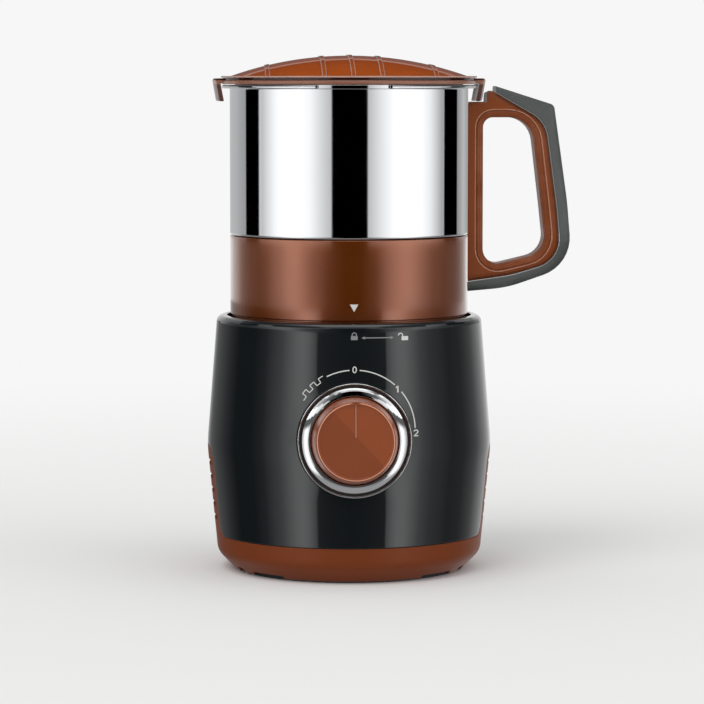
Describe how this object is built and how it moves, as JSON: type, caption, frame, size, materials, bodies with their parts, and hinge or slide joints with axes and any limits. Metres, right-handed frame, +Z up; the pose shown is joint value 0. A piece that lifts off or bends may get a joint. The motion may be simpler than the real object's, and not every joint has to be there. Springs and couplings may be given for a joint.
{
  "type": "electric grain mill",
  "caption": "Electric grain mill: round motor base with a front control knob, and a lift-off steel grinding cup with a side handle and a domed twist-on lid.",
  "frame": {"origin": "the spin axis of the motor and blades, where it meets the surface that the base stands on", "axes": "+Z up along the spin axis, the knob faces -Y, the handle is on +X"},
  "size_m": [0.1842, 0.1606, 0.2614],
  "materials": {
    "gloss_black": "glossy injection moulding",
    "brown_plastic": "satin gloss moulding",
    "grey_plastic": "satin moulding",
    "matte_black": "fine grain",
    "switch_plastic": "as moulded",
    "white_plastic": "as moulded",
    "board_green": "coated laminate",
    "black_rubber": "matte",
    "clear_silicone": "soft satin",
    "polished_steel": "mirror polished",
    "bright_steel": "turned",
    "blade_steel": "ground and sharpened",
    "zinc_steel": "zinc plated",
    "lamination_steel": "stamped laminations",
    "chrome_plate": "plated",
    "cast_aluminium": "die cast",
    "brass_parts": "turned",
    "copper_wire": "enamelled winding",
    "commutator_copper": "turned copper",
    "carbon": "pressed carbon",
    "amber_lid": "tinted, see-through at thin places"
  },
  "bodies": {
    "base": {"base_housing": "gloss_black", "base_skirt": "brown_plastic", "bottom_plate": "matte_black", "rubber_feet": "black_rubber", "bottom_screws": "zinc_steel", "cup_well": "matte_black", "well_screws": "zinc_steel", "well_seal": "black_rubber", "knob_bezel": "chrome_plate", "bezel_inlay": "matte_black", "speed_switch": "switch_plastic", "switch_nut": "brass_parts", "circuit_board": "board_green", "board_screws": "zinc_steel", "interlock_switch": "switch_plastic", "interlock_bracket": "zinc_steel", "cord_gland": "black_rubber", "gland_nut": "matte_black", "stator_core": "lamination_steel", "field_coils": "copper_wire", "motor_top_bracket": "cast_aluminium", "motor_bottom_bracket": "cast_aluminium", "upper_bearing": "bright_steel", "lower_bearing": "bright_steel", "brush_holders": "brass_parts", "carbon_brushes": "carbon", "motor_bolts": "zinc_steel", "motor_mounts": "black_rubber", "mount_screws": "zinc_steel"},
    "rotor": {"motor_shaft": "bright_steel", "rotor_core": "lamination_steel", "armature_windings": "copper_wire", "commutator": "commutator_copper", "cooling_fan": "matte_black", "drive_coupling": "bright_steel"},
    "knob": {"knob": "brown_plastic", "knob_spindle": "brass_parts"},
    "interlock": {"interlock_pin": "white_plastic", "interlock_spring": "bright_steel"},
    "cup_bearing": {"bearing_bush": "brass_parts", "shaft_seal": "black_rubber"},
    "cup": {"cup_shell": "polished_steel", "cup_collar": "brown_plastic", "handle_frame": "brown_plastic", "handle_cover": "grey_plastic", "handle_bracket": "bright_steel", "handle_screws": "zinc_steel", "blade_seat": "bright_steel", "seat_gasket": "clear_silicone", "seat_nut": "zinc_steel"},
    "blades": {"blade_shaft": "bright_steel", "lower_blade": "blade_steel", "upper_blade": "blade_steel", "blade_spacer": "bright_steel", "blade_nut": "bright_steel", "driven_coupling": "matte_black"},
    "lid_seal": {"lid_gasket": "clear_silicone"},
    "lid": {"lid_dome": "amber_lid"}
  },
  "joints": [
    {"name": "rotor_spin", "type": "hinge", "parent": "base", "child": "rotor", "pos_m": [0, 0, 0.06], "axis": [0, 0, 1], "continuous": true},
    {"name": "knob_turn", "type": "hinge", "parent": "base", "child": "knob", "pos_m": [0, -0.0723, 0.0725], "axis": [0, 0.9976, -0.0698], "range_deg": [-41, 86]},
    {"name": "cup_lift", "type": "slide", "parent": "base", "child": "cup_bearing", "axis": [0, 0, 1], "range_m": [0, 0.06]},
    {"name": "cup_turn", "type": "hinge", "parent": "cup_bearing", "child": "cup", "pos_m": [0, 0, 0.14], "axis": [0, 0, 1], "range_deg": [0, 22]},
    {"name": "blade_spin", "type": "hinge", "parent": "cup_bearing", "child": "blades", "pos_m": [0, 0, 0.15], "axis": [0, 0, 1], "continuous": true},
    {"name": "lid_lift", "type": "slide", "parent": "cup", "child": "lid_seal", "axis": [0, 0, 1], "range_m": [0, 0.05]},
    {"name": "lid_turn", "type": "hinge", "parent": "lid_seal", "child": "lid", "pos_m": [0, 0, 0.248], "axis": [0, 0, 1], "range_deg": [0, 90]},
    {"name": "interlock_push", "type": "slide", "parent": "base", "child": "interlock", "axis": [0, 0, 1], "range_m": [0, 0.003], "deforming": ["interlock_spring"]}
  ],
  "couplings": [
    {"joint": "blade_spin", "follows": "rotor_spin", "ratio": 1},
    {"joint": "interlock_push", "follows": "cup_turn", "m_per_rad": 0.0078131}
  ]
}
